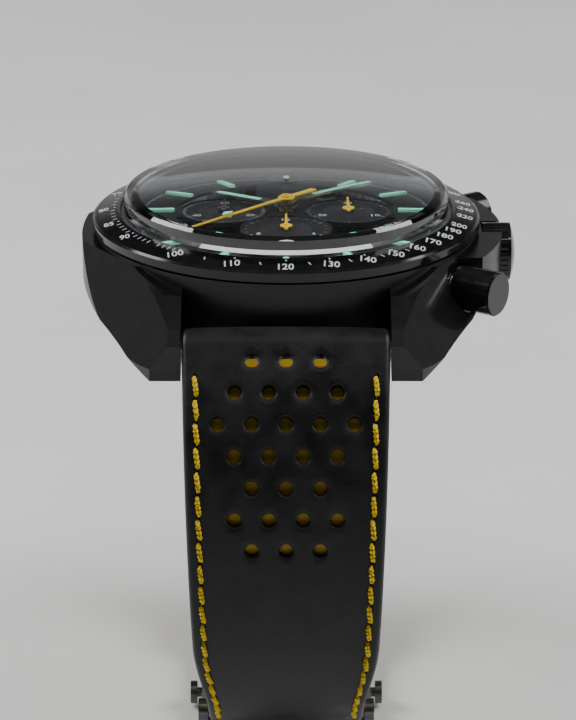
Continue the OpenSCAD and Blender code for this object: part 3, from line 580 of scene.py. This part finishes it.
def ease(value, low, high):
    """Smooth step from 0 at low to 1 at high."""
    t = min(1.0, max(0.0, (value - low) / (high - low)))
    return t * t * (3 - 2 * t)


# ---------------------------------------------------------------- the leather strap, in mm

SPREAD = 9.75           # half width of the flat pattern, before it takes the strap's taper
CURVE_DEPTH = 31.0      # half the front-to-back size of the ellipse that the side curve follows
CURVE_START = 41.8      # degrees round that ellipse to the spring bar
CURVE_STEPS = 500
FLOOR_HALF = 9.0        # half width at the height of the floor
TAPER, TAPER_HEIGHT = 1.5, 48           # how much wider each half is at that height
CLASP_HALF = 8.35                       # half width where the strap goes into the clasp
NARROW_FROM, NARROW_TO = 22.0, 8.6      # where it narrows to that, back from the clasp bar
LEATHER_IN = 0.1        # offsets from the side curve, outwards
LEATHER_OUT = 1.6
WRAP_IN = 0.93          # the leather's inner face while it goes round a bar
WRAP_NEAR = 0.2         # that face holds up to here from either bar
WRAP_LUG, WRAP_CLASP = 2.4, 1.8         # and has come back to LEATHER_IN by here
WRAP_FADE = 1.5         # how fast the outer face comes down from the spring bar
LINING_IN = -1.35
LAYER_GAP = 0.05        # between the lining and the leather
LINING_START, LINING_END = 2.15, 1.45   # how far the lining stops short of each bar
CORE_RISE = 0.6         # how far the lining stands up into the leather, away from the edges
CORE_FROM, CORE_FULL = 0.7, 1.9         # how far in from the edge that rise starts and is full
LUG_PAD = 0.55          # how much thicker the leather is at the lug than at the clasp
CROWN_DROP = 0.22       # how much lower the outer face is along its edges
EDGE_ROLL = 0.6
GROOVE_DEEP, GROOVE_WIDE = 0.13, 0.3    # the groove that the stitches lie in
GROOVE_STOP = 5         # how far it ends from the clasp bar
HOLE_R = 0.7
HOLE_RINGS = ((HOLE_R, 0.22, 20), (HOLE_R + 0.07, 0.09, 20), (HOLE_R + 0.2, 0.0, 16))
ROW_FIRST, ROW_PITCH = 2.0, 3.06
ROWS = (3, 4, 5, 4, 3, 4, 3)
HOLE_SPACING = 3.45
STITCH_FIRST, STITCH_PITCH = 3.5, 2.3
STITCH_LAST = 6.5       # no stitch starts nearer the clasp bar
STITCH_LENGTH = 1.95
STITCH_INSET = 0.87     # of the half width
NEEDLE_R = 0.3
NEEDLE_DEEP = 0.42
NEEDLE_RINGS = ((NEEDLE_R * 0.5, 0.26), (NEEDLE_R, 0.0))
PLY_R, PLY_SWING = 0.17, 0.13           # each ply of the thread, and how far it winds out
THREAD_LEAN = 0.13                      # each end of a stitch leans aside by this
THREAD_TURNS = 2.1
ARCH_HIGH, ARCH_FALL = 0.20, 0.62       # a stitch's middle stands clear and its ends dive in


class Strap:
    """One half of the strap: its side curve runs from its spring bar to its clasp bar.

    s is the length along that curve from the spring bar, x the place across the strap.
    """

    def __init__(self, side, drop, centre_z, end_deg, bar_out, clasp_out):
        self.side, self.drop, self.centre_z = side, drop, centre_z
        self.lug_r, self.clasp_r = bar_out, clasp_out
        start, end = math.radians(CURVE_START), math.radians(end_deg)
        self.angles = [start + (end - start) * i / CURVE_STEPS for i in range(CURVE_STEPS + 1)]
        self.lengths = [0.0]
        for a, b in zip(self.angles, self.angles[1:]):
            self.lengths.append(self.lengths[-1] + (self.base(b) - self.base(a)).length)
        self.length = self.lengths[-1]

    def base(self, t):
        """The point at angle t on the ellipse of the side curve."""
        return Vector((0, self.side * CURVE_DEPTH * math.cos(t),
                       self.centre_z + self.drop * math.sin(t)))

    def frame(self, s):
        """Point on the side curve and its outward normal, carried on round either bar."""
        inside = min(self.length, max(0.0, s))
        i = min(len(self.angles) - 2, int(inside / self.length * (len(self.angles) - 1)))
        while self.lengths[i + 1] < inside and i < len(self.angles) - 2:
            i += 1
        while self.lengths[i] > inside:
            i -= 1
        part = (inside - self.lengths[i]) / (self.lengths[i + 1] - self.lengths[i])
        t = self.angles[i] + (self.angles[i + 1] - self.angles[i]) * part
        normal = Vector((0, self.side * math.cos(t) * self.drop, math.sin(t) * CURVE_DEPTH))
        normal.normalize()
        turn = 0.0
        if s < 0:
            turn = -s / self.lug_r
        elif s > self.length:
            turn = -(s - self.length) / self.clasp_r
        if turn:
            normal = Matrix.Rotation(turn * self.side, 3, "X") @ normal
        return self.base(t), normal

    def half_width(self, s):
        point, _ = self.frame(s)
        full = FLOOR_HALF + TAPER * point.z / TAPER_HEIGHT
        narrow = ease(s, self.length - NARROW_FROM, self.length - NARROW_TO)
        return full + (CLASP_HALF - full) * narrow

    def top(self, s):
        """Height of the outer face along the middle: padded at the lug, full round its bar."""
        u = min(1.0, max(0.0, s / self.length))
        at_bar = self.lug_r - LEATHER_OUT - LUG_PAD
        return LEATHER_OUT + LUG_PAD * (1 - u) ** 2 + at_bar * math.exp(-max(0.0, s) / WRAP_FADE)

    def bottom(self, s, x):
        """Height of the leather's inner face, hollowed along the middle for the lining."""
        near_bar = max(1 - ease(s, WRAP_NEAR, WRAP_LUG),
                       ease(s, self.length - WRAP_CLASP, self.length - WRAP_NEAR))
        core = CORE_RISE * ease(self.half_width(s) - abs(x), CORE_FROM, CORE_FULL)
        return LEATHER_IN + (WRAP_IN - LEATHER_IN) * near_bar + core * (1 - near_bar)

    def place(self, s, x, offset):
        """A point at x across the real strap, offset from the side curve along its normal."""
        point, normal = self.frame(s)
        spot = point + normal * offset
        spot.x = x
        return spot * MM

    def skin(self, s, x):
        """Height of the leather's outer face, with its crown and rolled edge."""
        half = self.half_width(s)
        inset = max(0.0, half - abs(x))
        height = self.top(s) - CROWN_DROP * (abs(x) / half) ** 3
        if inset < EDGE_ROLL:
            height -= EDGE_ROLL - math.sqrt(max(0.0, EDGE_ROLL ** 2 - (EDGE_ROLL - inset) ** 2))
        if STITCH_FIRST - 1 < s < self.length - GROOVE_STOP:
            away = (abs(x) - STITCH_INSET * half) / GROOVE_WIDE
            height -= GROOVE_DEEP * math.exp(-away * away)
        return height

    def holes(self):
        """The middle of each hole, as (s, x)."""
        for row, count in enumerate(ROWS):
            s = ROW_FIRST + row * ROW_PITCH
            for i in range(count):
                yield s, (i - (count - 1) / 2) * HOLE_SPACING

    def stitches(self):
        """The start of each stitch and the edge, -1 or 1, that it runs along."""
        count = int((self.length - STITCH_LAST - STITCH_FIRST) / STITCH_PITCH)
        for i in range(count):
            s = STITCH_FIRST + i * STITCH_PITCH
            for edge in (-1, 1):
                yield s, edge

    def stitch_x(self, s, edge):
        return edge * STITCH_INSET * self.half_width(s)


def circle(s, x, radius, count):
    """Points (s, x) evenly round a circle."""
    for k in range(count):
        turn = 2 * math.pi * k / count
        yield s + radius * math.cos(turn), x + radius * math.sin(turn)


def leather_points(strap, start, end):
    """The flat pattern: (s, x, drop) with rings of points round each hole and needle mark."""
    points, keep_clear = [], []
    for s, x in strap.holes():
        for radius, drop, count in HOLE_RINGS:
            points += [(*spot, drop) for spot in circle(s, x, radius, count)]
        keep_clear.append((s, x, HOLE_R + 0.4))
    for s, edge in strap.stitches():
        for end_s in (s, s + STITCH_LENGTH):
            x = strap.stitch_x(end_s, edge)
            points.append((end_s, x, NEEDLE_DEEP))
            for radius, drop in NEEDLE_RINGS:
                points += [(*spot, drop) for spot in circle(end_s, x, radius, 7)]
            keep_clear.append((end_s, x, NEEDLE_R + 0.12))
    row_pitch, columns = 0.55, 30
    rows = int((end - start) / row_pitch)
    across = [-1 + 2 * i / columns for i in range(columns + 1)]
    for near in (0.02, 0.045):          # two more columns along each rolled edge
        across += [1 - near, near - 1]
    across = sorted(set(round(w, 4) for w in across))
    for i in range(rows + 1):
        s = start + (end - start) * i / rows
        half = strap.half_width(s)
        for w in across:
            x = w * half
            if all((s - a) ** 2 + (x - b) ** 2 > r * r
                   for a, b, r in keep_clear if abs(s - a) < r):
                points.append((s, x, 0.0))
    return points


def build_leather(name, strap, node, body):
    """The leather with its real holes: two faces and the walls between them.

    The flat pattern is triangulated once, and its triangles inside the holes are dropped.
    """
    wrap = 1.02                         # the turn round each bar, in half turns
    start = -math.pi * strap.lug_r * wrap
    end = strap.length + math.pi * strap.clasp_r * wrap
    points = leather_points(strap, start, end)
    flat = [Vector((s, x / strap.half_width(s) * SPREAD)) for s, x, _ in points]
    spots, _, triangles, origins, _, _ = delaunay_2d_cdt(flat, [], [], 0, 1e-5)
    source = [origin[0] for origin in origins]
    holes = list(strap.holes())
    kept = []
    for triangle in triangles:
        s = sum(points[source[v]][0] for v in triangle) / 3
        x = sum(points[source[v]][1] for v in triangle) / 3
        inside = HOLE_R * 0.97
        if all((s - a) ** 2 + (x - b) ** 2 > inside ** 2 for a, b in holes):
            kept.append(triangle)
    verts = []
    for side in (1, 0):
        for index in source:
            s, x, drop = points[index]
            low = strap.bottom(s, x)
            thinnest = 0.08
            height = max(low + thinnest, strap.skin(s, x) - drop) if side else low
            verts.append(strap.place(s, x, height))
    n = len(source)
    faces = [tuple(t) for t in kept] + [tuple(n + v for v in reversed(t)) for t in kept]
    seen = {}
    for t in kept:
        for a, b in zip(t, tuple(t[1:]) + (t[0],)):
            seen[(a, b)] = True
    faces += [(b, a, n + a, n + b) for a, b in seen if (b, a) not in seen]
    piece = add_piece(name, verts, faces, "strap_leather", body, smooth=48)
    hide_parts(node)


def build_lining(name, strap, node, body):
    """The yellow underside, with its own rounded edges, ending short of both bars."""
    start, end = LINING_START, strap.length - LINING_END
    rows, side_gap = 90, 0.12
    lower = [(-1, 0.35), (-0.985, 0.12), (-0.95, 0.0), (-0.6, 0.0), (0, 0.03), (0.6, 0.0),
             (0.95, 0.0), (0.985, 0.12), (1, 0.35)]
    across = [1, 0.97, 0.93, 0.89, 0.85, 0.8, 0.4, 0]
    upper = across + [-w for w in reversed(across[:-1])]
    n = len(lower) + len(upper)
    verts, faces = [], []
    for i in range(rows + 1):
        s = start + (end - start) * i / rows
        half = strap.half_width(s) - side_gap
        for w, rise in lower:
            verts.append(strap.place(s, w * half, LINING_IN + rise))
        for w in upper:
            verts.append(strap.place(s, w * half, strap.bottom(s, w * half) - LAYER_GAP))
    for i in range(rows):
        for k in range(n):
            a, b = i * n + k, i * n + (k + 1) % n
            faces.append((a, b, b + n, a + n))
    faces.append(tuple(range(n)))
    faces.append(tuple(range(rows * n, rows * n + n)))
    piece = add_piece(name, verts, faces, "strap_rubber", body, smooth=50)
    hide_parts(node)


def build_stitches(name, strap, body):
    """Two-ply twisted thread, one short arch for each stitch, on both faces of the strap."""
    shell = Shell()
    steps = 12
    for s, edge in strap.stitches():
        for face in (1, -1):
            centre = []
            for i in range(steps + 1):
                t = i / steps
                at = s + STITCH_LENGTH * t
                x = strap.stitch_x(at, edge) + THREAD_LEAN * (t - 0.5) * 2
                rise = ARCH_HIGH - ARCH_FALL * abs(2 * t - 1) ** 5
                level = strap.skin(at, x) if face > 0 else LINING_IN
                centre.append((at, x, level + face * rise))
            for ply in (0, 1):
                path = []
                for i, (at, x, level) in enumerate(centre):
                    turn = math.pi * ply + 2 * math.pi * THREAD_TURNS * i / steps + s
                    path.append(strap.place(at, x + PLY_SWING * math.cos(turn),
                                            level + PLY_SWING * math.sin(turn)))
                shell.tube(path, PLY_R * MM, 6)
    shell.build(name, "thread", "strap_rubber", body, smooth=80)


LONG = Strap(side=-1, drop=29.24, centre_z=31.1, end_deg=-62.9, bar_out=2.28, clasp_out=1.58)
SHORT = Strap(side=1, drop=28.74, centre_z=31.43, end_deg=-63.6, bar_out=2.28, clasp_out=1.58)
for name, strap in (("long", LONG), ("short", SHORT)):
    body = "strap_" + name
    build_leather("leather_" + name, strap, body, body)
    build_lining("lining_" + name, strap, body + "_lining", body)
    build_stitches("stitches_" + name, strap, body)


# ---------------------------------------------------------------- printed scales and lume, in mm

def spoke(angle, radius, length, width, turn=0.0):
    """Corners of a short bar that points outwards at a clock angle, swung by turn."""
    bearing = math.radians(90 - angle)
    middle = Vector((math.cos(bearing), math.sin(bearing))) * radius
    along = Matrix.Rotation(math.radians(90 - angle + turn), 2) @ Vector((length / 2, 0))
    across = Vector((-along.y, along.x)).normalized() * (width / 2)
    return [middle - along - across, middle + along - across,
            middle + along + across, middle - along + across]


def digits(text, height, advance, weight):
    """The outline faces of a number, centred on the origin, as (points, faces)."""
    curve = bpy.data.curves.new("digits", "FONT")
    curve.body = text
    curve.align_x = "CENTER"
    curve.size = 1.0
    curve.offset = weight
    curve.resolution_u = 3
    holder = bpy.data.objects.new("digits", curve)
    mesh = bpy.data.meshes.new_from_object(holder)
    points = [v.co.copy() for v in mesh.vertices]
    faces = [tuple(p.vertices) for p in mesh.polygons]
    bpy.data.objects.remove(holder)
    bpy.data.curves.remove(curve)
    bpy.data.meshes.remove(mesh)
    low = min(p.y for p in points)
    tall = max(p.y for p in points) - low
    wide = max(p.x for p in points) - min(p.x for p in points)
    middle = (max(p.x for p in points) + min(p.x for p in points)) / 2
    full = advance * (len(text) - 0.18)         # the last digit has no gap after it
    return [Vector(((p.x - middle) / wide * full, ((p.y - low) / tall - 0.5) * height))
            for p in points], faces


class Print:
    """Raised print: flat outlines given a thickness and laid on a surface height(x, y)."""

    SUNK = 0.03         # how far the print reaches into its surface

    def __init__(self, height, thickness=0.02):
        self.height, self.thickness = height, thickness
        self.verts, self.faces = [], []

    def add(self, points, faces):
        first, n = len(self.verts), len(points)
        for lift in (self.thickness, -self.SUNK):
            for p in points:
                self.verts.append(Vector((p.x, p.y, self.height(p.x, p.y) + lift)) * MM)
        edges = {}
        for face in faces:
            for a, b in zip(face, tuple(face[1:]) + (face[0],)):
                edges[(a, b)] = True
            self.faces.append(tuple(first + v for v in face))
            self.faces.append(tuple(first + n + v for v in reversed(face)))
        for a, b in edges:
            if (b, a) not in edges:
                self.faces.append((first + b, first + a, first + n + a, first + n + b))

    def bar(self, corners):
        self.add(corners, [tuple(range(len(corners)))])

    def ring(self, centre, radius, width, steps):
        points = []
        for r in (radius - width / 2, radius + width / 2):
            for k in range(steps):
                turn = 2 * math.pi * k / steps
                points.append(Vector((centre[0] + r * math.cos(turn),
                                      centre[1] + r * math.sin(turn))))
        faces = [(k, (k + 1) % steps, steps + (k + 1) % steps, steps + k)
                 for k in range(steps)]
        self.add(points, faces)

    def number(self, text, at, height, advance, tilt=0.0, weight=0.012):
        points, faces = digits(text, height, advance, weight)
        turn = Matrix.Rotation(math.radians(tilt), 2)
        self.add([turn @ p + Vector(at) for p in points], faces)

    def build(self, name, look, slot, body):
        return add_piece(name, self.verts, self.faces, look, body)


HEAD_MM = HEAD_Z / MM
SCALE_NUMBERS = (500, 400, 350, 300, 260, 240, 220, 200, 190, 180, 170, 160, 150, 140, 130,
                 120, 110, 100, 90, 85, 80, 75, 70, 65, 60)
SCALE_IN, SCALE_MIDDLE, SCALE_OUT = 18.45, 19.58, 20.45     # radii on the bezel
TRACK_R = 15.64                 # the line outside the minute track
COUNTER_OFFSET = 6.8            # from the middle of the dial to that of each counter
COUNTER_NUMBER_R = 3.35
DIGIT_HIGH, DIGIT_WIDE = 1.1, 0.58


def ring_height(x, y):
    """The tachymeter ring is a shallow cone; heights in mm."""
    edge_height, edge_radius, slope = 10.05, 20.7, 0.25
    return HEAD_MM + edge_height + (edge_radius - math.hypot(x, y)) * slope


def build_tachymeter():
    """Speeds round the bezel: the number N stands 21600 / N degrees round from 12 o'clock."""
    scale = Print(ring_height, 0.015)
    for number in SCALE_NUMBERS:
        angle = 21600 / number
        bearing = math.radians(90 - angle)
        out = Vector((math.cos(bearing), math.sin(bearing)))
        tilt = -9 * out.x if out.y < 0.3 else -20 * out.x       # the numbers stay nearly upright
        text = str(number)
        reach = abs(out.y) * DIGIT_HIGH / 2 + abs(out.x) * (len(text) - 0.2) * DIGIT_WIDE / 2
        scale.number(text, out * (SCALE_OUT - 0.12 - reach), DIGIT_HIGH, DIGIT_WIDE, tilt, 0.016)
        scale.bar(spoke(angle, SCALE_IN + 0.16, 0.2, 0.16))
    for number in range(61, 100):
        if number % 5:
            scale.bar(spoke(21600 / number, SCALE_IN + 0.34, 0.5, 0.09))
    for number in (105, 115, 125, 135, 145, 155):
        scale.bar(spoke(21600 / number, SCALE_MIDDLE - 0.3, 0.5, 0.11, turn=24))
    scale.build("tachymeter_scale", "scale_print", "ring_ceramic", "case")


def build_dial_print():
    """Minute track, counter tracks and their generic numbers, with fine turned rings."""
    top = DIAL_TOP / MM
    face = Print(lambda x, y: top, 0.012)
    for i in range(300):                # five ticks to a minute, none under an hour block
        long = i % 5 == 0
        if i % 25:
            face.bar(spoke(i * 1.2, 15.42 if long else 15.5, 0.34 if long else 0.18,
                           0.09 if long else 0.04))
    face.ring((0, 0), TRACK_R, 0.04, 180)
    counters = ((Vector((COUNTER_OFFSET, 0)), 30, 5, ("10", "20", "30")),
                (Vector((0, -COUNTER_OFFSET)), 24, 4, ("4", "8", "12")),
                (Vector((-COUNTER_OFFSET, 0)), 60, 5, ("20", "40", "60")))
    for at, ticks, major, numbers in counters:
        for i in range(ticks):
            long = i % major == 0
            corners = spoke(i * 360 / ticks, 4.28 if long else 4.36, 0.46 if long else 0.3,
                            0.1 if long else 0.06)
            face.bar([p + at for p in corners])
        for i, text in enumerate(numbers):
            bearing = math.radians(90 - (i + 1) * 360 / len(numbers))
            spot = at + Vector((math.cos(bearing), math.sin(bearing))) * COUNTER_NUMBER_R
            face.number(text, spot, 0.8, 0.52)
    face.build("dial_print", "dial_print", "dial_black", "case")
    turned = Print(lambda x, y: top, 0.022)
    for at, *_ in counters:
        for k in range(9):
            turned.ring(at, 0.75 + k * 0.24, 0.1, 64)
    turned.build("counter_azurage", "dial_sheen", "dial_black", "case")


def strip(width, points):
    """Corners of a bar of the given width from points[0] to points[1], with a pointed end."""
    start, end = points
    half = width / 2
    return [Vector((-half, start)), Vector((half, start)), Vector((half, end - half)),
            Vector((0, end)), Vector((-half, end - half))]


def build_inlays():
    """Lume let into the hour and minute hands, and the diamond on the chronograph hand."""
    # node, body, the clock angle of the hand at rest, the inlay's inner and outer ends, width
    hands = (("hour_hand", "hours", 304.0, (3.4, 9.3), 0.62),
             ("minute_hand", "minutes", 48.0, (3.9, 12.7), 0.5))
    for node, body, angle, points, width in hands:
        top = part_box(node)[1].z / MM
        inlay = Print(lambda x, y, top=top: top, 0.05)
        turn = Matrix.Rotation(math.radians(-angle), 2)
        inlay.bar([turn @ p for p in strip(width, points)])
        inlay.build(node + "_lume", "lume_green", "lume_green", body)
    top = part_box("chronograph_hand")[1].z / MM
    diamond = Print(lambda x, y: top, 0.05)
    rest_angle = 221.7
    turn = Matrix.Rotation(math.radians(-rest_angle), 2)
    middle, long, wide = 9.3, 0.85, 0.42
    corners = [Vector((0, middle - long)), Vector((wide, middle)), Vector((0, middle + long)),
               Vector((-wide, middle))]
    diamond.bar([turn @ p for p in corners])
    diamond.build("chronograph_hand_lume", "lume_green", "lume_green", "chronograph")


build_tachymeter()
build_dial_print()
build_inlays()
